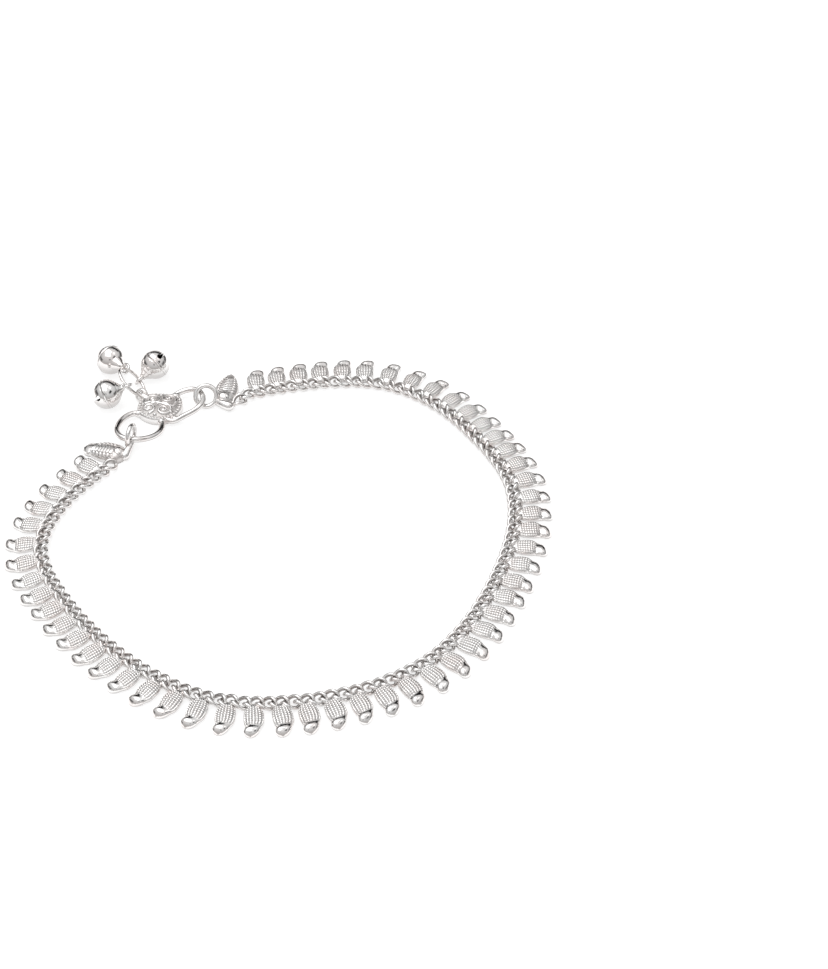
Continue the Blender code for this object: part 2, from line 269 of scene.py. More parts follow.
def torus_shape(centre, axis, radius, wire, around=64, sides=14, **more):
    axis = unit(axis)
    side = np.cross([0.0, 0.0, 1.0], axis)
    if np.linalg.norm(side) < 1e-3:
        side = np.array([1.0, 0.0, 0.0])
    side = unit(side)
    rise = np.cross(axis, side)
    a = np.linspace(0.0, 2.0 * math.pi, around, endpoint=False)
    pts = np.asarray(centre, float) + radius * (np.cos(a)[:, None] * side + np.sin(a)[:, None] * rise)
    return sweep(pts, wire, sides=sides, closed=True, **more)


def lathe(profile, place, segments=64, crev=None, polish=0.9):
    """profile: rows (distance from the axis, height).  place: 4x4 array."""
    prof = np.asarray(profile, float)
    a = np.linspace(0.0, 2.0 * math.pi, segments, endpoint=False)
    rings = np.stack([prof[:, 0, None] * np.cos(a), prof[:, 0, None] * np.sin(a),
                      np.repeat(prof[:, 1, None], segments, 1)], -1)
    rings = rings @ place[:3, :3].T + place[:3, 3]
    cr = np.repeat((np.zeros(len(prof)) if crev is None else np.asarray(crev, float))[:, None],
                   segments, 1)
    return rings_to_shape(rings, crev=cr, polish=np.full(cr.shape, polish))


# ==========================================================================
# materials: one kind of silver, worn and finished in different ways, with painted shade in its creases,
# hollows and sides
# ==========================================================================
# strength of the painted shade on the sides and the back
SIDE_SHADE = 0.52


def silver(name, rough_low, rough_high, tint=(0.955, 0.942, 0.932), dark=(0.30, 0.275, 0.26),
           crease=0.75, grain=0.5, wave=0.0, scratch=0.25):
    """rough_low where it is rubbed bright, rough_high where it is frosted."""
    mat = bpy.data.materials.new(name)
    mat.use_nodes = True
    nt = mat.node_tree
    for node in list(nt.nodes):
        nt.nodes.remove(node)
    n, link = nt.nodes.new, nt.links.new
    out = n("ShaderNodeOutputMaterial")
    shader = n("ShaderNodeBsdfPrincipled")
    link(shader.outputs[0], out.inputs[0])
    shader.inputs["Metallic"].default_value = 1.0
    coord = n("ShaderNodeTexCoord")

    def noise(scale, detail, rough=0.5):
        tex = n("ShaderNodeTexNoise")
        tex.inputs["Scale"].default_value = scale
        tex.inputs["Detail"].default_value = detail
        tex.inputs["Roughness"].default_value = rough
        link(coord.outputs["Object"], tex.inputs["Vector"])
        return tex.outputs[0]

    def remap(value, a, b, c, d):
        m = n("ShaderNodeMapRange")
        m.inputs[1].default_value, m.inputs[2].default_value = a, b
        m.inputs[3].default_value, m.inputs[4].default_value = c, d
        link(value, m.inputs[0])
        return m.outputs[0]

    def math_node(op, a, b):
        m = n("ShaderNodeMath")
        m.operation = op
        for i, x in enumerate((a, b)):
            if isinstance(x, (int, float)):
                m.inputs[i].default_value = x
            else:
                link(x, m.inputs[i])
        return m.outputs[0]

    def attribute(key):
        att = n("ShaderNodeAttribute")
        att.attribute_name = key
        return att.outputs["Fac"]

    def mix(fac, a, b):
        m = n("ShaderNodeMix")
        m.data_type = 'RGBA'
        link(fac, m.inputs[0])
        for sock, x in ((m.inputs[6], a), (m.inputs[7], b)):
            if isinstance(x, tuple):
                sock.default_value = (*x, 1.0)
            else:
                link(x, sock)
        return m.outputs[2]

    # colour: clean silver, a slightly rosy film in patches, and painted shade, partly tarnish, that darkens
    # it in the creases, hollows and undersides marked by crev
    patch = remap(noise(260.0, 3.0), 0.42, 0.68, 0.0, 1.0)
    rosy = (tint[0] * 0.955, tint[1] * 0.915, tint[2] * 0.905)
    colour = mix(patch, tint, rosy)
    fleck = remap(noise(1900.0, 3.0, 0.65), 0.30, 0.75, -0.22, 0.22)
    crev = math_node('ADD', attribute("crev"), math_node('MULTIPLY', fleck, attribute("crev")))
    crev = remap(crev, 0.05, 1.0, 0.0, crease)
    colour = mix(crev, colour, dark)
    # painted shade: the sides and the back, which face sideways and down, are darkened towards grey
    side_shade = math_node('MULTIPLY', attribute("side"), SIDE_SHADE)
    colour = mix(side_shade, colour, (0.30, 0.285, 0.28))
    link(colour, shader.inputs["Base Color"])
    # roughness: frosted or polished, with smudges and wear
    smudge = remap(noise(700.0, 4.0, 0.6), 0.30, 0.72, -0.5, 0.5)
    span = rough_high - rough_low
    rough = remap(attribute("polish"), 0.0, 1.0, rough_high, rough_low)
    rough = math_node('ADD', rough, math_node('MULTIPLY', smudge, 0.35 * span + 0.03))
    rough = math_node('ADD', rough, math_node('MULTIPLY', crev, 0.22))
    rough = math_node('MAXIMUM', rough, 0.05)
    link(rough, shader.inputs["Roughness"])
    # relief too fine for the mesh: cast grain, dents of hand finishing, scratches
    fine = math_node('MULTIPLY', noise(5200.0, 3.0, 0.6), grain)
    height = fine
    if wave:
        height = math_node('ADD', height, math_node('MULTIPLY', noise(420.0, 2.0, 0.4), wave))
    if scratch:
        mapping = n("ShaderNodeMapping")
        mapping.inputs["Scale"].default_value = (1.0, 14.0, 5.0)
        mapping.inputs["Rotation"].default_value = (0.4, 0.3, 0.9)
        link(coord.outputs["Object"], mapping.inputs["Vector"])
        tex = n("ShaderNodeTexNoise")
        tex.inputs["Scale"].default_value = 1500.0
        tex.inputs["Detail"].default_value = 2.0
        link(mapping.outputs[0], tex.inputs["Vector"])
        height = math_node('ADD', height, math_node('MULTIPLY', tex.outputs[0], scratch))
    bump = n("ShaderNodeBump")
    bump.inputs["Strength"].default_value = 1.0
    bump.inputs["Distance"].default_value = 0.000018
    link(height, bump.inputs["Height"])
    link(bump.outputs[0], shader.inputs["Normal"])
    return mat


SILVER_LINK = silver("silver_links", 0.10, 0.24, grain=0.35, crease=0.85, scratch=0.3)
SILVER_CHARM = silver("silver_charms", 0.05, 0.34, grain=0.8, crease=0.80)
SILVER_CAST = silver("silver_cast_pieces", 0.12, 0.40, grain=1.0, crease=0.75, wave=1.2)
SILVER_WIRE = silver("silver_wire", 0.07, 0.22, grain=0.25, wave=0.8)
SILVER_BELL = silver("silver_bells", 0.07, 0.20, grain=0.25, wave=2.4, scratch=0.35)


# ==========================================================================
# the chain's route, as in the part
# ==========================================================================
CHARM_PITCH = 4.4
LINK_PITCH = 2.2
CHARMS = 54
PER_SECTION = 6
FIRST_CHARM_AT = 3.0
ROUTE_STEP = 13.2
ROUTE = np.array([
    # x,     y,     lean
    (-33.3,  18.1,   4.0),
    (-41.1,   7.4,   8.0),
    (-44.1,  -5.2,   3.0),
    (-39.1, -17.3,  -6.0),
    (-31.2, -27.9, -11.0),
    (-21.5, -36.7,  -9.0),
    ( -9.8, -42.8,   1.0),
    (  3.2, -43.7,   9.0),
    ( 16.1, -40.8,   6.0),
    ( 27.5, -34.3,   8.0),
    ( 35.6, -24.0,  10.0),
    ( 41.0, -12.0,   8.0),
    ( 44.3,   0.9,  12.0),
    ( 43.6,  14.0,   5.0),
    ( 37.8,  25.8,  -4.0),
    ( 29.7,  36.2,   0.0),
    ( 18.3,  42.6,   6.0),
    (  5.3,  42.6,  -4.0),
    ( -7.6,  39.6,  -9.0),
])
CHAIN_END = 237.4
CHAIN_TAIL = np.array([(-8.6, 38.5), (-9.5, 37.3), (-10.0, 36.6)])

_rows = np.arange(len(ROUTE), dtype=float)
_route = spline_through(_rows, ROUTE[:, :2])
_u = np.linspace(-0.3, len(ROUTE) - 0.7, 6000)
_inside = _u[(_u >= 0) & (_u <= _rows[-1])]


def _route_at(t):
    # past its ends the cubic goes on as the part's does
    return _route(t)


_pts = _route_at(_u)
_s = np.concatenate([[0.0], np.cumsum(np.linalg.norm(np.diff(_pts, axis=0), axis=1))])
_s -= np.interp(0.0, _u, _s)
STRETCH = float(np.interp(_rows[-1], _u, _s)) / (ROUTE_STEP * (len(ROUTE) - 1))
# chain points by distance, with the bent tail past the last charm
_along = np.arange(-3.0, CHAIN_END, 0.1)
_line = _route_at(np.interp(_along * STRETCH, _s, _u))
_full = np.concatenate([_line, CHAIN_TAIL])
_dist = np.concatenate([_along, _along[-1] + np.cumsum(
    np.linalg.norm(np.diff(_full[len(_line) - 1:], axis=0), axis=1))])


def chain_xy(s):
    return np.array([np.interp(s, _dist, _full[:, 0]), np.interp(s, _dist, _full[:, 1])])


def chain_heading(s, span=0.2):
    d = chain_xy(s + span) - chain_xy(s - span)
    return math.atan2(d[1], d[0])


def lean_at(s):
    return math.radians(float(np.interp(s / ROUTE_STEP, _rows, ROUTE[:, 2])))


# ==========================================================================
# curb chain: twisted oval links that lie flat in each other
# ==========================================================================
LINK_HALF = 1.65            # half length of the wire's centre line
LINK_WIDE = 1.20            # half width of the wire's centre line
LINK_WIRE = 0.37
LINK_TWIST = math.radians(52.0)
LINK_Z = 0.96
LINK_OUT = 0.22             # the charms' side reaches further than the inner one


def link_shape():
    n = 44
    t = np.linspace(0.0, 2.0 * math.pi, n, endpoint=False)
    x = LINK_HALF * np.cos(t)
    y = LINK_WIDE * np.sign(np.sin(t)) * np.abs(np.sin(t)) ** 0.9
    turn = LINK_TWIST * x / LINK_HALF
    p = np.stack([x, y * np.cos(turn), y * np.sin(turn)], 1)

    # painted shade: the wire is darker on its inner side, where the neighbouring links sit, and on its
    # underside
    def crease(a, rings):
        inner = smooth_step(0.10, 0.90, -np.cos(a))
        low = smooth_step(0.10, -0.75, rings[:, :, 2])
        return np.clip(0.90 * inner + 0.25 * low, 0.0, 1.0)
    return sweep(p, LINK_WIRE, sides=12, closed=True, crev=crease, polish=0.85)


LINK = link_shape()


def link_at(s, wobble):
    h = chain_heading(s, 0.8) + wobble[0]
    roll = wobble[1]
    cx, cy = chain_xy(s)
    cr, sr = math.cos(roll), math.sin(roll)
    ch, sh = math.cos(h), math.sin(h)
    cx, cy = cx + LINK_OUT * sh, cy - LINK_OUT * ch

    def place(v):
        x, y, z = v[:, 0], v[:, 1], v[:, 2]
        y, z = y * cr - z * sr, y * sr + z * cr
        return np.stack([cx + x * ch - y * sh, cy + x * sh + y * ch, z + LINK_Z + wobble[2]], 1)
    shape = LINK.moved(place)
    low = shape.v[:, 2].min()
    if low < 0.02:
        shape.v[:, 2] += 0.02 - low
    return shape


for k in range(CHARMS // PER_SECTION):
    s_first = FIRST_CHARM_AT + CHARM_PITCH * PER_SECTION * k
    ks = [s_first + LINK_PITCH * j for j in range(2 * PER_SECTION)]
    if k == 0:
        ks = [s_first - LINK_PITCH] + ks
    if k == CHARMS // PER_SECTION - 1:
        ks = ks + [ks[-1] + LINK_PITCH]
    shapes = []
    for s in ks:
        w = rng.normal(0.0, 1.0, 3) * (math.radians(2.5), math.radians(4.0), 0.03)
        shapes.append(link_at(s, w))
    piece("chain_links_%d" % (k + 1), joined(shapes), ["chain_%d" % (k + 1)],
          SILVER_LINK)


# ==========================================================================
# mango charms: granulated field in a smooth rim, polished tip that curls over
# ==========================================================================
def pillow_section(width, height, waist, across):
    """Across a puffy casting with a flat back: positions and heights for the
    angles in across, 90 degrees being its widest place."""
    t = np.sin(across)
    over = np.abs(across) <= math.pi / 2.0
    crown = np.clip(1.0 - np.abs(t) ** 2.5, 0.0, 1.0) ** 0.55
    low = np.clip(-np.cos(across), 0.0, 1.0) / -math.cos(SECTION_END)
    z = np.where(over, waist + (height - waist) * crown, waist * (1.0 - low))
    return width * t, z


SECTION_END = math.radians(122.0)


def section_angles(field_half, columns, per_column):
    edge = math.asin(field_half)
    inner = np.arcsin(np.linspace(-field_half, field_half, columns * per_column + 1))
    outer = np.concatenate([np.linspace(edge, math.pi / 2.0, 7)[1:],
                            np.linspace(math.pi / 2.0, SECTION_END, 5)[1:]])
    return np.concatenate([-outer[::-1], inner, outer])


class Mango:
    """A granulated field inside a smooth rim, and a polished tip that curls
    over.  Distances run out from the chain's middle."""

    def __init__(self, start, field_from, field_to, tip_at, dome_from, width, centre, height,
                 rows, columns, per_row=5, per_column=6, depth=0.20, half=0.80, waist=0.42):
        u = np.concatenate([
            np.linspace(start, field_from, 6)[:-1],
            np.linspace(field_from, field_to, rows * per_row + 1)[:-1],
            field_to + (tip_at - field_to) * np.sin(np.linspace(0.0, math.pi / 2.0, 20))])
        th = section_angles(half, columns, per_column)
        w = spline_through(*width)(u) * np.sqrt(np.clip(
            1.0 - (np.clip(u - dome_from, 0.0, None) / (tip_at + 0.004 - dome_from)) ** 2, 0.0, 1.0))
        c, h = spline_through(*centre)(u), spline_through(*height)(u)
        U, TH = np.meshgrid(u, th, indexing='ij')
        T = np.where(np.abs(TH) <= math.pi / 2.0, np.sin(TH), np.sign(TH))
        V, Z = pillow_section(w[:, None], h[:, None], (waist * h)[:, None], TH)
        V = V + c[:, None]
        along = (U - field_from) / (field_to - field_from)
        bent = along + 0.030 * (1.0 - (T / half) ** 2)          # rows bow towards the tip
        inside = smooth_step(0.0, 0.05, bent) * smooth_step(1.03, 0.97, bent) \
            * smooth_step(half + 0.05, half - 0.01, np.abs(T))
        dx = np.mod((T / half + 1.0) / 2.0 * columns, 1.0) - 0.5
        dy = np.mod(bent * rows, 1.0) - 0.5
        grain = np.sqrt(np.clip(1.0 - (dx * dx * 1.30 + dy * dy * 0.95) / 0.42, 0.0, 1.0))
        relief = inside * depth * (1.35 * grain - 1.05)
        rim = 0.08 * np.exp(-((np.abs(T) - half - 0.10) / 0.055) ** 2) \
            * smooth_step(0.0, 0.12, along) * smooth_step(1.15, 1.0, along)
        # saddle on the side the tip curls to
        saddle = -0.16 * np.exp(-((along - 1.0) / 0.09) ** 2) * smooth_step(0.1, 0.95, T)
        Z = Z + np.where(np.abs(TH) <= math.pi / 2.0, relief + rim + saddle, 0.0)
        # painted shade, partly tarnish: crev darkens the gaps between the grains and the groove where the
        # field ends
        gap_u = smooth_step(0.30, 0.50, np.abs(dy))
        gap_v = smooth_step(0.26, 0.50, np.abs(dx))
        crev = inside * np.clip(0.75 * gap_v + 0.35 * gap_u + 0.8 * gap_u * gap_v, 0.0, 1.0)
        crev = np.maximum(crev, 0.45 * np.exp(-((bent - 1.02) / 0.022) ** 2)
                          * smooth_step(0.95, 0.70, np.abs(T)))
        tip = smooth_step(1.01, 1.06, bent)
        polish = 0.30 + 0.70 * tip + 4.0 * rim + 0.20 * inside * grain
        n = len(u)
        back = np.stack([u, c, np.full(n, 0.06)], -1)[:, None]
        rings = np.concatenate([np.stack([U, V, Z], -1), back], 1)
        # the flat back row gets crev 0.3, painted shade underneath
        self.shape = rings_to_shape(
            rings, crev=np.concatenate([crev, np.full((n, 1), 0.3)], 1),
            polish=np.concatenate([polish, np.full((n, 1), 0.1)], 1))


CHARM = Mango(
    start=0.5, field_from=1.45, field_to=5.20, tip_at=7.42, dome_from=6.05,
    width=([0.5, 1.0, 1.5, 2.0, 2.6, 3.4, 4.2, 4.8, 5.3, 5.7, 6.1, 7.42],
           [0.85, 1.05, 1.36, 1.62, 1.78, 1.87, 1.86, 1.76, 1.58, 1.50, 1.48, 1.48]),
    centre=([0.5, 1.85, 3.2, 4.2, 4.8, 5.3, 5.8, 6.3, 6.8, 7.42],
            [0.0, 0.0, -0.05, -0.07, -0.06, 0.04, 0.20, 0.36, 0.50, 0.60]),
    height=([0.5, 0.9, 1.3, 1.8, 2.4, 3.2, 4.2, 4.8, 5.2, 5.7, 6.15, 6.5, 6.8, 7.1, 7.42],
            [0.80, 1.15, 1.30, 1.36, 1.42, 1.50, 1.50, 1.38, 1.26, 1.32, 1.40, 1.36, 1.20, 0.90, 0.36]),
    rows=8, columns=5).shape



def charm_at(number):
    s = FIRST_CHARM_AT + CHARM_PITCH * number
    x, y = chain_xy(s)
    j = rng.normal(0.0, 1.0, 4)
    out = chain_heading(s) - math.pi / 2.0 + lean_at(s) + math.radians(0.9) * j[0]
    roll = math.radians(2.2) * j[1]
    size = 1.0 + 0.010 * j[2]
    U = np.array([math.cos(out), math.sin(out), 0.0])
    V = np.array([math.sin(out), -math.cos(out), 0.0])       # clockwise side

    def place(v):
        u, w, z = v[:, 0].copy(), v[:, 1] * size, v[:, 2]
        lift = 0.42 * (1.0 - np.clip(u / 6.6, 0.0, 1.0)) + 0.03
        w2 = w * math.cos(roll) - (z - 0.7) * math.sin(roll)
        z2 = 0.7 + w * math.sin(roll) + (z - 0.7) * math.cos(roll)
        return np.stack([x + u * U[0] + w2 * V[0], y + u * U[1] + w2 * V[1], z2 + lift], 1)
    shape = CHARM.moved(place)
    low = shape.v[:, 2].min()
    if low < 0.02:
        shape.v[:, 2] += 0.02 - low
    return shape.outward()


for k in range(CHARMS // PER_SECTION):
    shapes = [charm_at(k * PER_SECTION + i) for i in range(PER_SECTION)]
    piece("mango_charms_%d" % (k + 1), joined(shapes), ["chain_%d" % (k + 1)],
          SILVER_CHARM)


# ==========================================================================
# leaf ends
# ==========================================================================
LEAF_ROWS = np.array([
    (0.00, 0.80, 1.10), (0.07, 1.60, 1.75), (0.22, 2.25, 2.15), (0.42, 2.45, 2.20),
    (0.62, 2.15, 1.95), (0.82, 1.45, 1.60), (0.95, 0.90, 1.20), (1.00, 0.50, 0.90)])
RING_R, RING_WIRE = 2.1, 0.5


def leaf_shape(ends, pointed, flip=1.0):
    """A leaf between its cup end and its tip: rim, a row of grains inside it,
    slanting cuts like veins, and a polished boss at the cup end."""
    p0, p1 = np.array(ends[0]), np.array(ends[1])
    length = float(np.linalg.norm(p1 - p0))
    ax = (p1 - p0) / length
    side = np.array([-ax[1], ax[0]]) * flip
    width = spline_through(LEAF_ROWS[:, 0], LEAF_ROWS[:, 1])
    height = spline_through(LEAF_ROWS[:, 0], LEAF_ROWS[:, 2])
    n = 92
    a = 0.5 - 0.5 * np.cos(np.linspace(0.0, math.pi, n))
    a = 0.15 * a + 0.85 * np.linspace(0.0, 1.0, n)
    th = np.linspace(-math.pi / 2.0, math.pi / 2.0, 67)
    t, k = np.sin(th), np.cos(th)
    w = width(a)
    end_in = np.sqrt(np.clip(1.0 - (np.clip(0.10 - a, 0.0, None) / 0.101) ** 2, 0.0, 1.0))
    if pointed:
        end_out = np.clip((1.003 - a) / 0.22, 0.0, 1.0) ** 0.80
        w = np.where(a > 0.78, np.minimum(w, width(0.78) * end_out), w)
    else:
        end_out = np.sqrt(np.clip(1.0 - (np.clip(a - 0.80, 0.0, None) / 0.2005) ** 2, 0.0, 1.0))
        w = np.where(a > 0.80, width(0.80) * end_out * 1.06, w)
    w = w * end_in
    h = height(a)
    A, T = np.meshgrid(a, t, indexing='ij')
    K = np.broadcast_to(k, A.shape)
    W = np.broadcast_to(w[:, None], A.shape)
    z_edge = np.minimum(0.5, 0.35 * h)[:, None] * smooth_step(1.02, 0.85, A)
    base = z_edge + (h[:, None] - z_edge) * np.clip(K, 0.0, 1.0) ** 0.75
    # the rim and a row of grains inside it, spaced along the edge
    rim = 0.14 * np.exp(-((np.abs(T) - 0.90) / 0.06) ** 2) * smooth_step(0.16, 0.24, A)
    step = length / 0.82 / 1.0
    dy = np.mod(A * step + 0.25 * np.sign(T), 1.0) - 0.5
    dx = (np.abs(T) - 0.70) / 0.20
    grains = np.sqrt(np.clip(1.0 - dx ** 2 - (dy / 0.5) ** 2, 0.0, 1.0))
    band = smooth_step(0.22, 0.28, A) * smooth_step(0.93, 0.88, A)
    # slanting cuts on the middle field
    phase = A * length / 0.62 - np.abs(T) * 1.5 * np.where(pointed, 1.0, 0.3)
    cut = smooth_step(0.55, 1.0, np.cos(2.0 * math.pi * phase))
    field = smooth_step(0.54, 0.46, np.abs(T)) * smooth_step(0.27, 0.32, A) \
        * smooth_step(0.80 if pointed else 0.72, 0.74 if pointed else 0.66, A)
    # polished boss beside the ring
    boss = np.sqrt(np.clip(1.0 - ((A - 0.13) * length / 1.15) ** 2 - (T * W / 1.15) ** 2, 0.0, 1.0))
    tip_dome = 0.0 if pointed else smooth_step(0.70, 0.76, A)
    Z = base + rim + band * (0.24 * grains - 0.13) * (1.0 - tip_dome) - 0.17 * cut * field \
        - 0.05 * field + 0.30 * boss
    # painted shade, partly tarnish: crev darkens between the grains, in the cuts and round the boss
    crev = np.maximum(band * (1.0 - grains) * np.exp(-(dx * 0.75) ** 4) * 0.85 * (1.0 - tip_dome),
                      cut * field)
    crev = np.maximum(crev, 0.7 * np.exp(-((boss - 0.0) / 0.12) ** 2) * smooth_step(0.30, 0.24, A)
                      * smooth_step(0.02, 0.06, A) * 0.6)
    polish = np.clip(0.25 + 6.0 * rim + 0.75 * smooth_step(0.05, 0.3, boss) + 0.7 * tip_dome
                     + 0.2 * grains * band, 0.0, 1.0)
    xy = p0[None, None] + A[..., None] * length * ax + (W * T)[..., None] * side
    top = np.concatenate([xy, Z[..., None]], -1)
    back = []
    for f in (0.92, 0.0, -0.92):
        q = p0[None] + a[:, None] * length * ax + (w * f)[:, None] * side
        back.append(np.concatenate([q, np.full((n, 1), 0.03 if f else 0.10)], 1)[:, None])
    rings = np.concatenate([top] + back, 1)
    # the back rows get crev 0.35, painted shade underneath
    cr = np.concatenate([crev, np.full((n, 3), 0.35)], 1)
    po = np.concatenate([polish, np.full((n, 3), 0.1)], 1)
    return rings_to_shape(rings, crev=cr, polish=po)


LEAF_LEFT = ((-31.0, 20.9), (-39.6, 23.4))
LEAF_RIGHT = ((-13.1, 36.5), (-11.7, 46.0))
RING_LEFT_AT, RING_LEFT_AXIS = (-30.2, 24.75, 2.65), (0.97, -0.25, 0.0)
RING_RIGHT_AT, RING_RIGHT_AXIS = (-16.36, 37.57, 2.1), (0.0, -0.737, 0.676)
BAIL_FROM, BAIL_TO = np.array([-31.1, 20.6, 1.1]), np.array([-30.15, 22.85, 1.9])
CUP_FROM, CUP_TO = np.array([-14.1, 36.9, 1.15]), np.array([-11.7, 35.5, 1.15])


def blob(centre, radii, turn=0.0, polish=0.7, crev=0.0):
    """A rounded lump of solder."""
    th = np.linspace(0.0, math.pi, 15)[1:-1]
    a = np.linspace(0.0, 2.0 * math.pi, 24, endpoint=False)
    x = np.sin(th)[:, None] * np.cos(a) * radii[0]
    y = np.sin(th)[:, None] * np.sin(a) * radii[1]
    z = np.cos(th)[:, None] * np.ones_like(a) * radii[2]
    c, s = math.cos(turn), math.sin(turn)
    rings = np.stack([centre[0] + x * c - y * s, centre[1] + x * s + y * c, centre[2] + z], -1)
    return rings_to_shape(rings, crev=np.full(x.shape, crev), polish=np.full(x.shape, polish))


# left leaf, with its solder neck
neck = line_through(np.array([BAIL_FROM, 0.5 * (BAIL_FROM + BAIL_TO) + [0.02, 0.0, 0.12], BAIL_TO]), 14)
left = joined([
    leaf_shape(LEAF_LEFT, pointed=False, flip=-1.0),
    sweep(neck, np.linspace(0.95, 0.62, 14), sides=18, polish=0.8, round_ends=True),
])
piece("leaf_left", left, ["leaf_end_left"], SILVER_CAST)
# right leaf, with the round cup that takes the chain's last link
cup = line_through(np.array([CUP_FROM, 0.5 * (CUP_FROM + CUP_TO) + [0.0, -0.12, 0.05], CUP_TO]), 18)
right = joined([
    leaf_shape(LEAF_RIGHT, pointed=True),
    sweep(cup, 1.05 * np.sqrt(np.clip(np.linspace(0.55, 1.0, 18), 0, 1)), sides=22, polish=1.0,
          round_ends=True),
])
piece("leaf_right", right, ["leaf_end_right"], SILVER_CAST)


def jump_ring(centre, axis, join_at):
    """A round wire ring with a soldered joint that shows as a slight swelling."""
    axis = unit(axis)
    side = np.cross([0.0, 0.0, 1.0], axis)
    side = unit(side if np.linalg.norm(side) > 1e-3 else np.array([1.0, 0.0, 0.0]))
    rise = np.cross(axis, side)
    a = np.linspace(0.0, 2.0 * math.pi, 96, endpoint=False)
    pts = np.array(centre) + RING_R * (np.cos(a)[:, None] * side + np.sin(a)[:, None] * rise)
    gap = np.abs((a - math.radians(join_at) + math.pi) % (2.0 * math.pi) - math.pi)
    wire = RING_WIRE * (1.0 + 0.10 * np.exp(-(gap / 0.16) ** 2) - 0.07 * np.exp(-(gap / 0.035) ** 2))
    # crev: a dark line at the solder joint, and painted shade on the ring's inner side
    return sweep(pts, wire, sides=20, closed=True, polish=0.9,
                 crev=lambda ang, r: np.repeat(0.8 * np.exp(-(gap / 0.03) ** 2)[:, None], 20, 1)
                 + 0.25 * smooth_step(0.5, 1.0, -np.cos(ang)))


piece("jump_ring_left", jump_ring(RING_LEFT_AT, RING_LEFT_AXIS, 250.0), ["leaf_end_left"],
      SILVER_WIRE)
piece("jump_ring_right", jump_ring(RING_RIGHT_AT, RING_RIGHT_AXIS, 200.0), ["leaf_end_right"],
      SILVER_WIRE)


# ==========================================================================
# clasp
# ==========================================================================
PLATE = np.array([
    (-29.7, 33.2), (-28.4, 31.8), (-26.4, 30.9), (-24.2, 31.0), (-22.4, 32.1), (-21.3, 33.8),
    (-21.0, 35.8), (-21.7, 38.0), (-24.4, 38.9), (-27.9, 38.8), (-29.5, 37.1), (-30.0, 34.9)])
PLATE_TOP = 2.1
D_LOOP = np.array([
    (-28.6, 33.2, 1.10), (-30.8, 33.2, 1.15), (-32.5, 31.4, 1.35), (-33.3, 29.0, 1.65),
    (-33.2, 26.7, 1.95), (-32.1, 25.0, 2.10), (-30.2, 24.3, 2.15), (-28.2, 24.5, 2.00),
    (-26.3, 25.6, 1.65), (-25.0, 27.4, 1.30), (-24.6, 29.4, 1.10), (-25.0, 31.9, 1.10)])
HOOK = np.array([
    (-25.0, 36.8, 1.10), (-23.3, 38.3, 1.20), (-21.4, 39.7, 1.45), (-19.4, 40.0, 1.80),
    (-17.7, 39.0, 2.05), (-16.95, 37.3, 2.10), (-17.2, 35.2, 2.00), (-18.6, 33.4, 1.70),
    (-20.6, 32.1, 1.40), (-22.6, 31.0, 1.15), (-24.4, 31.9, 1.10)])
WIRE_R = 0.6
BELL_RING_AT = np.array([-31.47, 40.89, 3.06])
BELL_RING_AXIS = unit(np.array([0.733, 0.149, 0.664]))
BELL_RING_R, BELL_RING_WIRE = 3.44, 0.35
EYELET_ANGLE, EYELET_R, EYELET_WIRE = 222.0, 1.05, 0.42

_level = unit(np.cross([0.0, 0.0, 1.0], BELL_RING_AXIS))
_rise = np.cross(BELL_RING_AXIS, _level)


def on_bell_ring(angle):
    a = math.radians(angle)
    return (BELL_RING_AT + (_level * math.cos(a) + _rise * math.sin(a)) * BELL_RING_R,
            _rise * math.cos(a) - _level * math.sin(a))


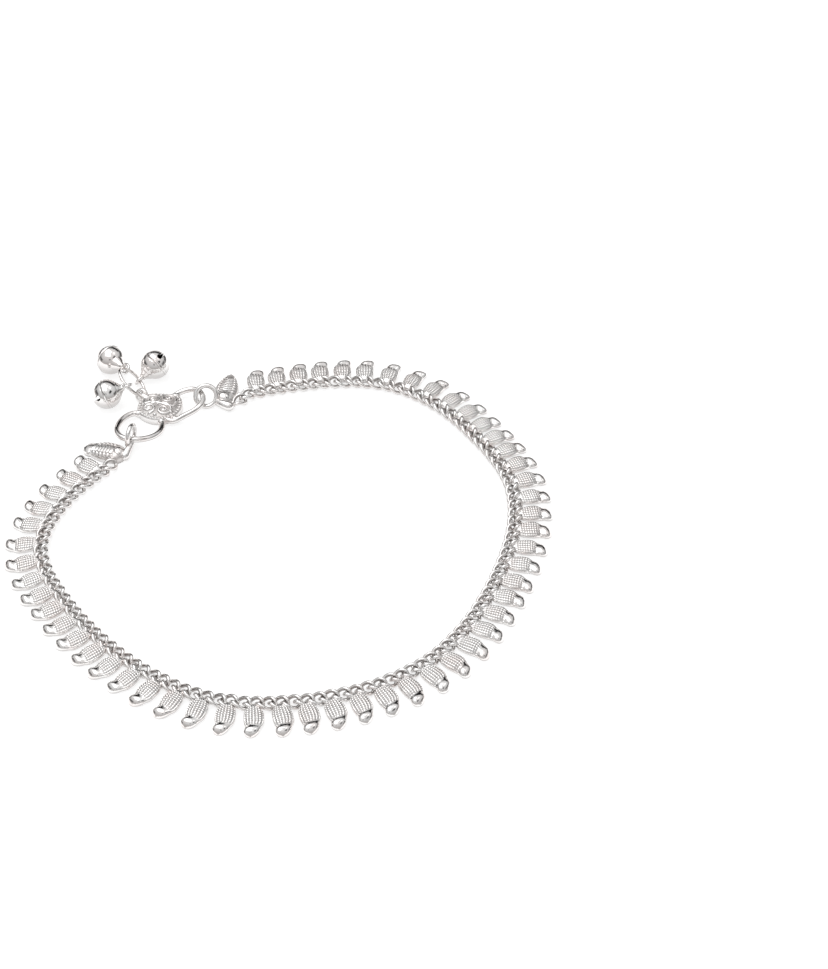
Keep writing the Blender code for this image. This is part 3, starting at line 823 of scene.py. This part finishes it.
def plate_shape():
    """Puffy cast plate: domed top with scrolls, grains and a fluted fan."""
    centre = PLATE.mean(0)
    n_around = 240
    loop = np.concatenate([PLATE, PLATE[:3]])
    loop = np.concatenate([PLATE[-3:], loop])
    tt = np.arange(len(loop), dtype=float)
    around = spline_through(tt, loop)(np.linspace(3.0, 3.0 + len(PLATE), n_around, endpoint=False))
    rho = np.concatenate([np.linspace(0.0, 0.86, 62)[1:], 0.86 + 0.14 * np.sin(
        np.linspace(0.0, math.pi / 2.0, 13))[1:]])
    XY = centre + rho[:, None, None] * (around - centre)
    X, Y = XY[..., 0], XY[..., 1]
    R = np.broadcast_to(rho[:, None], X.shape)
    top = 1.45 + 0.95 * np.clip(1.0 - R ** 2.6, 0.0, 1.0) ** 0.62
    # scrolls: ridges along a few spirals, and grains at their hearts
    ridge = np.zeros_like(X)
    grain = np.zeros_like(X)

    def spiral(cx, cy, r0, turns, start, sense=1.0, tail=0.0):
        m = 90
        f = np.linspace(0.0, 1.0, m)
        a = start + sense * 2.0 * math.pi * turns * f
        r = r0 * (0.16 + 0.84 * f ** 0.85) + tail * f ** 6
        return np.stack([cx + r * np.cos(a), cy + r * np.sin(a)], 1)

    lines = [
        spiral(-26.9, 36.3, 1.75, 1.6, 0.6, 1.0, 0.6),
        spiral(-23.9, 36.6, 1.35, 1.5, 2.6, -1.0, 0.5),
        spiral(-24.6, 33.4, 1.45, 1.6, 4.2, 1.0, 0.5),
        spiral(-27.7, 33.9, 1.15, 1.4, 1.2, -1.0, 0.4),
        np.stack([np.linspace(-28.9, -22.6, 60), 35.1 + 0.55 * np.sin(np.linspace(0, 5.2, 60))], 1),
    ]
    for pts in lines:
        d = np.full(X.shape, 9.0)
        for a, b in zip(pts[:-1], pts[1:]):
            ab = b - a
            f = np.clip(((X - a[0]) * ab[0] + (Y - a[1]) * ab[1]) / (ab @ ab + 1e-9), 0.0, 1.0)
            d = np.minimum(d, np.hypot(X - a[0] - f * ab[0], Y - a[1] - f * ab[1]))
        ridge = np.maximum(ridge, np.sqrt(np.clip(1.0 - (d / 0.27) ** 2, 0.0, 1.0)))
    for cx, cy, r in ((-26.9, 36.3, 0.42), (-23.9, 36.6, 0.36), (-24.6, 33.4, 0.38),
                      (-27.7, 33.9, 0.34), (-28.9, 36.2, 0.33), (-25.4, 38.1, 0.33),
                      (-26.2, 32.0, 0.33), (-22.5, 34.9, 0.36), (-25.9, 35.0, 0.30),
                      (-27.6, 38.0, 0.30), (-23.0, 32.9, 0.28), (-29.2, 34.4, 0.28)):
        d = np.hypot(X - cx, Y - cy)
        grain = np.maximum(grain, np.sqrt(np.clip(1.0 - (d / r) ** 2, 0.0, 1.0)))
    inner = smooth_step(0.93, 0.86, R)
    work = np.maximum(ridge, grain) * inner
    # flutes round the border, closest together at the fan's end
    ang = np.arctan2(Y - centre[1], X - centre[0])
    flute = 0.5 + 0.5 * np.cos(ang * 34.0)
    border = smooth_step(0.80, 0.86, R) * smooth_step(1.0, 0.95, R)
    Z = top + 0.30 * work - 0.17 * inner + 0.10 * border * flute
    # painted shade, partly tarnish: crev darkens the hollows between scrolls and grains and the gaps between
    # the flutes
    crev = np.maximum(inner * (1.0 - smooth_step(0.0, 0.75, work)) * 0.75,
                      border * (1.0 - flute) * 0.5)
    polish = 0.15 + 0.65 * work + 0.4 * smooth_step(0.96, 1.0, R)
    # wall down to the back
    wall = []
    for z, grow in ((1.10, 1.012), (0.75, 1.015), (0.40, 1.008), (0.12, 0.985), (0.02, 0.95)):
        q = centre + grow * (around - centre)
        wall.append(np.concatenate([q, np.full((n_around, 1), z)], 1)[None])
    rings = np.concatenate([np.stack([X, Y, Z], -1)] + wall, 0)
    # the wall gets crev 0.12, a slight painted shade on the sides
    cr = np.concatenate([crev, np.full((5, n_around), 0.12)], 0)
    po = np.concatenate([polish, np.full((5, n_around), 0.75)], 0)
    return rings_to_shape(rings, crev=cr, polish=po)


d_loop = line_through(D_LOOP, 120)
hook = line_through(HOOK, 120)


def wire_crease(ang, rings):
    return 0.12 + 0.0 * ang


eyelet_at, eyelet_axis = on_bell_ring(EYELET_ANGLE)
lobe_end = eyelet_at + np.array([0.35, -0.75, -0.55])
lobe = line_through(np.array([[-28.4, 37.6, 1.2], [-29.4, 38.3, 1.35], lobe_end]), 12)
piece("clasp_plate", joined([
    plate_shape(),
    sweep(lobe, np.linspace(1.15, 0.75, 12), sides=20, polish=0.6, round_ends=True),
]), ["clasp"], SILVER_CAST)
piece("clasp_wires", joined([
    sweep(d_loop, WIRE_R, sides=20, polish=0.9, crev=wire_crease, round_ends=True),
    sweep(hook, WIRE_R, sides=20, polish=0.9, crev=wire_crease, round_ends=True),
    torus_shape(eyelet_at, eyelet_axis, EYELET_R, EYELET_WIRE, around=48, sides=16, polish=0.8),
    blob((-29.6, 33.3, 1.05), (0.95, 0.80, 0.80), 0.0),
    blob((-24.8, 30.9, 1.0), (0.85, 0.95, 0.75), 0.3),
    blob((-22.6, 38.5, 1.15), (1.05, 0.80, 0.75), 0.7),
    blob((-22.2, 31.6, 1.1), (1.10, 0.75, 0.72), -0.5),
]), ["clasp"], SILVER_WIRE)


# ==========================================================================
# bells on their ring
# ==========================================================================
ring_pts_a = np.linspace(0.0, 2.0 * math.pi, 120, endpoint=False)
ring_pts = BELL_RING_AT + BELL_RING_R * (np.cos(ring_pts_a)[:, None] * _level
                                         + np.sin(ring_pts_a)[:, None] * _rise)
# crev: painted shade on the wire's inner side
piece("bell_ring_wire", sweep(ring_pts, BELL_RING_WIRE, sides=16, closed=True, polish=0.95,
                              crev=lambda a, r: 0.15 * smooth_step(0.4, 1.0, -np.cos(a))),
      ["bell_ring"], SILVER_WIRE)

BELL_R, BELL_WALL, BELL_SLOT = 3.0, 0.34, 0.62
BELL_EYE_R, BELL_EYE_WIRE = 0.95, 0.30
BELLS = ((-36.5, 47.9, 3.05, 24.0), (-27.3, 46.4, 3.05, 315.0), (-36.2, 37.0, 3.05, 146.0))


def temp_object(name, shape):
    me = bpy.data.meshes.new(name)
    faces = [tuple(f) for f in shape.q.tolist()] + [tuple(f) for f in shape.t.tolist()]
    me.from_pydata(shape.v.tolist(), [], faces)
    obj = bpy.data.objects.new(name, me)
    bpy.context.scene.collection.objects.link(obj)
    return obj


def bell(number, x, y, z, angle):
    centre = np.array([x, y, z])
    eye, along_ring = on_bell_ring(angle)
    up = unit(eye - centre)
    side = unit(along_ring - up * np.dot(along_ring, up))
    across = np.cross(up, side)
    reach = float(np.linalg.norm(eye - centre)) - BELL_EYE_R
    # outline from the slot end to the neck: ball, raised seam, shoulder, neck
    lat = np.linspace(-math.pi / 2.0 + 0.02, math.radians(58.0), 80)
    r = BELL_R + 0.07 * np.exp(-(lat / 0.030) ** 2) - 0.03 * np.exp(-((np.abs(lat) - 0.075) / 0.03) ** 2)
    prof = np.stack([r * np.cos(lat), r * np.sin(lat)], 1)
    r_s, h_s = prof[-1]
    neck_h = np.linspace(0.0, 1.0, 14)[1:]
    top = reach + 0.20
    neck = np.stack([r_s + (0.62 - r_s) * smooth_step(0.0, 1.0, neck_h) ** 0.72,
                     h_s + (top - h_s) * neck_h], 1)
    prof = np.concatenate([prof, neck])
    seam = 0.5 * np.exp(-((prof[:, 1] - 0.22) / 0.07) ** 2) + 0.5 * np.exp(-((prof[:, 1] + 0.22) / 0.07) ** 2)
    place = np.eye(4)
    place[:3, :3] = np.stack([side, across, up], 1)
    place[:3, 3] = centre
    outer = lathe(prof, place, 96)
    inner_lat = np.linspace(-math.pi / 2.0 + 0.02, math.pi / 2.0 - 0.02, 40)
    inner_r = BELL_R - BELL_WALL
    inner = lathe(np.stack([inner_r * np.cos(inner_lat), inner_r * np.sin(inner_lat)], 1), place, 48)
    body = temp_object("bell_work_%d" % number, outer)
    cut_a = temp_object("bell_cut_a", inner)

    def local(v):
        return v @ place[:3, :3].T + centre
    # slot across the closed end, with a round hole at each of its ends
    steps = np.linspace(-math.pi / 2.0 - 1.05, -math.pi / 2.0 + 1.05, 40)
    arc_out = np.stack([np.zeros(40), 4.2 * np.cos(steps), 4.2 * np.sin(steps)], 1)
    half = 0.5 * BELL_SLOT
    rings = []
    for c, s in zip(np.cos(steps), np.sin(steps)):
        rings.append([(-half, 1.6 * c, 1.6 * s), (half, 1.6 * c, 1.6 * s),
                      (half, 4.2 * c, 4.2 * s), (-half, 4.2 * c, 4.2 * s)])
    slot = rings_to_shape(local(np.array(rings).reshape(-1, 3)).reshape(40, 4, 3))
    cut_b = temp_object("bell_cut_b", slot)
    holes = []
    for a in (steps[0], steps[-1]):
        d = np.array([0.0, math.cos(a), math.sin(a)])
        holes.append(sweep(local(np.array([d * 1.6, d * 4.2])), 0.58, sides=24))
    cuts = [cut_a, cut_b] + [temp_object("bell_cut_c%d" % i, h) for i, h in enumerate(holes)]
    for other in cuts:
        mod = body.modifiers.new("cut", 'BOOLEAN')
        mod.operation = 'DIFFERENCE'
        mod.solver = 'EXACT'
        mod.object = other
    bpy.context.view_layer.update()
    deps = bpy.context.evaluated_depsgraph_get()
    me = bpy.data.meshes.new_from_object(body.evaluated_get(deps))
    for other in [body] + cuts:
        bpy.data.objects.remove(other, do_unlink=True)
    v = np.zeros(len(me.vertices) * 3)
    me.vertices.foreach_get("co", v)
    v = v.reshape(-1, 3)
    me.calc_loop_triangles()
    tris = np.array([list(tri.vertices) for tri in me.loop_triangles])
    rel = (v - centre) @ place[:3, :3]
    dist = np.linalg.norm(rel, axis=1)
    # crev: painted shade, partly tarnish, in the grooves beside the seam, and dark painted shade over the
    # bell's inside and the walls of its slot and holes
    cr = 0.55 * np.exp(-((np.abs(rel[:, 2]) - 0.22) / 0.09) ** 2) * (rel[:, 2] < 1.0)
    cr = np.maximum(cr, np.where(dist < BELL_R - 0.12, 0.9, 0.0))
    shell = Shape(v, (), tris, cr, np.full(len(v), 0.92))
    eye_ring = torus_shape(eye, side, BELL_EYE_R, BELL_EYE_WIRE, around=40, sides=14, polish=0.85)
    collar_at = centre + up * (top - 0.12)
    collar = torus_shape(collar_at, up, 0.52, 0.20, around=36, sides=12, polish=0.8)
    piece("bell_body_%d" % number, joined([shell, eye_ring, collar]), ["bell_%d" % number],
          SILVER_BELL, sharp=45.0)


for i, row in enumerate(BELLS):
    bell(i + 1, *row)


# ==========================================================================
# floor, light
# ==========================================================================
def floor():
    bm = bmesh.new()
    bmesh.ops.create_grid(bm, x_segments=8, y_segments=8, size=3.0)
    me = bpy.data.meshes.new("floor")
    bm.to_mesh(me)
    bm.free()
    mat = bpy.data.materials.new("white_sheet")
    mat.use_nodes = True
    nt = mat.node_tree
    shader = nt.nodes["Principled BSDF"]
    shader.inputs["Roughness"].default_value = 0.75
    shader.inputs["Specular IOR Level"].default_value = 0.15
    coord = nt.nodes.new("ShaderNodeTexCoord")
    tex = nt.nodes.new("ShaderNodeTexNoise")
    tex.inputs["Scale"].default_value = 60.0
    tex.inputs["Detail"].default_value = 4.0
    ramp = nt.nodes.new("ShaderNodeMapRange")
    ramp.inputs[3].default_value, ramp.inputs[4].default_value = 0.50, 0.53
    nt.links.new(coord.outputs["Object"], tex.inputs["Vector"])
    nt.links.new(tex.outputs[0], ramp.inputs[0])
    mixer = nt.nodes.new("ShaderNodeCombineColor")
    for i in range(3):
        nt.links.new(ramp.outputs[0], mixer.inputs[i])
    nt.links.new(mixer.outputs[0], shader.inputs["Base Color"])
    # the sheet is lit from below as well, like a product table's
    shader.inputs["Emission Color"].default_value = (1.0, 1.0, 1.0, 1.0)
    shader.inputs["Emission Strength"].default_value = 0.72
    me.materials.append(mat)
    obj = bpy.data.objects.new("floor", me)
    bpy.context.scene.collection.objects.link(obj)
    obj.location = (0.0, 0.0, -0.00002)


floor()


def studio_world():
    """A white tent, greyer towards the horizon, with soft boxes overhead and a
    few dark gaps, which polished silver shows as crisp dark marks."""
    world = bpy.data.worlds.new("studio")
    bpy.context.scene.world = world
    world.use_nodes = True
    nt = world.node_tree
    n, link = nt.nodes.new, nt.links.new
    background = nt.nodes["Background"]
    coord = n("ShaderNodeTexCoord")
    ray = coord.outputs["Generated"]

    def dot(v):
        m = n("ShaderNodeVectorMath")
        m.operation = 'DOT_PRODUCT'
        link(ray, m.inputs[0])
        m.inputs[1].default_value = tuple(float(x) for x in v)
        return m.outputs["Value"]

    def calc(op, a, b=0.0):
        m = n("ShaderNodeMath")
        m.operation = op
        for i, x in enumerate((a, b)):
            if isinstance(x, (int, float)):
                m.inputs[i].default_value = float(x)
            else:
                link(x, m.inputs[i])
        return m.outputs[0]

    def ramp(value, a, b, c, d):
        m = n("ShaderNodeMapRange")
        m.interpolation_type = 'SMOOTHSTEP'
        m.inputs[1].default_value, m.inputs[2].default_value = a, b
        m.inputs[3].default_value, m.inputs[4].default_value = c, d
        link(value, m.inputs[0])
        return m.outputs[0]

    def card(azimuth, elevation, half_w, half_h, soft, tilt=0.0):
        """1 inside a rectangle seen in that direction; azimuth 0 is +Y, 90 is +X."""
        az, el = math.radians(azimuth), math.radians(elevation)
        c = np.array([math.sin(az) * math.cos(el), math.cos(az) * math.cos(el), math.sin(el)])
        r = np.array([math.cos(az), -math.sin(az), 0.0])
        u = np.cross(r, c)
        t = math.radians(tilt)
        r, u = r * math.cos(t) + u * math.sin(t), u * math.cos(t) - r * math.sin(t)
        depth = calc('MAXIMUM', dot(c), 0.02)
        wide, high = math.tan(math.radians(half_w)), math.tan(math.radians(half_h))
        s = math.tan(math.radians(soft))
        a = ramp(calc('ABSOLUTE', calc('DIVIDE', dot(r), depth)), wide - s, wide + s, 1.0, 0.0)
        b = ramp(calc('ABSOLUTE', calc('DIVIDE', dot(u), depth)), high - s, high + s, 1.0, 0.0)
        front = ramp(dot(c), 0.02, 0.08, 0.0, 1.0)
        return calc('MULTIPLY', calc('MULTIPLY', a, b), front)

    up = dot((0.0, 0.0, 1.0))
    light = ramp(up, -0.05, 1.0, 0.42, 0.76)
    for az, el, w, h, soft, power in WHITE_CARDS:
        light = calc('ADD', light, calc('MULTIPLY', card(az, el, w, h, soft), power))
    for az, el, w, h, soft, keep, tilt in DARK_CARDS:
        m = card(az, el, w, h, soft, tilt)
        light = calc('MULTIPLY', light, calc('SUBTRACT', 1.0, calc('MULTIPLY', m, 1.0 - keep)))
    # a breath of warmth low down, from the table beyond the sheet
    warm = ramp(up, 0.0, 0.45, 1.0, 0.0)
    colour = n("ShaderNodeMix")
    colour.data_type = 'RGBA'
    colour.inputs[6].default_value = (1.0, 1.0, 1.0, 1.0)
    colour.inputs[7].default_value = (1.0, 0.955, 0.935, 1.0)
    link(warm, colour.inputs[0])
    link(colour.outputs[2], background.inputs["Color"])
    link(light, background.inputs["Strength"])


# azimuth, elevation, half width, half height, softness, power
WHITE_CARDS = (
    (-38.0, 58.0, 15.0, 10.0, 2.0, 1.0),
    (75.0, 62.0, 10.0, 8.0, 2.0, 0.6),
    (190.0, 72.0, 12.0, 7.0, 2.0, 0.6),
)
# azimuth, elevation, half width, half height, softness, what is left, tilt
DARK_CARDS = (
    (10.0, 27.0, 31.0, 11.0, 1.0, 0.02, 0.0),
    (52.0, 8.0, 20.0, 12.0, 3.0, 0.20, 0.0),
    (-46.0, 10.0, 20.0, 13.0, 3.0, 0.22, 0.0),
    (125.0, 45.0, 12.0, 8.0, 1.0, 0.05, -20.0),
    (180.0, 40.0, 6.0, 5.0, 2.0, 0.15, 0.0),
    (265.0, 16.0, 20.0, 8.0, 2.5, 0.20, 0.0),
    (95.0, 16.0, 16.0, 8.0, 2.5, 0.25, 0.0),
)
studio_world()

key_data = bpy.data.lights.new("overhead", 'AREA')
key_data.shape = 'RECTANGLE'
key_data.size, key_data.size_y = 0.9, 0.6
key_data.energy = 2.0
key = bpy.data.objects.new("overhead", key_data)
key.location = (-0.25, 0.10, 0.95)
key.rotation_euler = (Vector((0.0, 0.0, 0.0)) - Vector(key.location)).to_track_quat('-Z', 'Y').to_euler()
bpy.context.scene.collection.objects.link(key)

view = bpy.context.scene.view_settings
view.view_transform = 'Standard'
view.look = 'None'
view.exposure = 0.0
view.gamma = 1.0
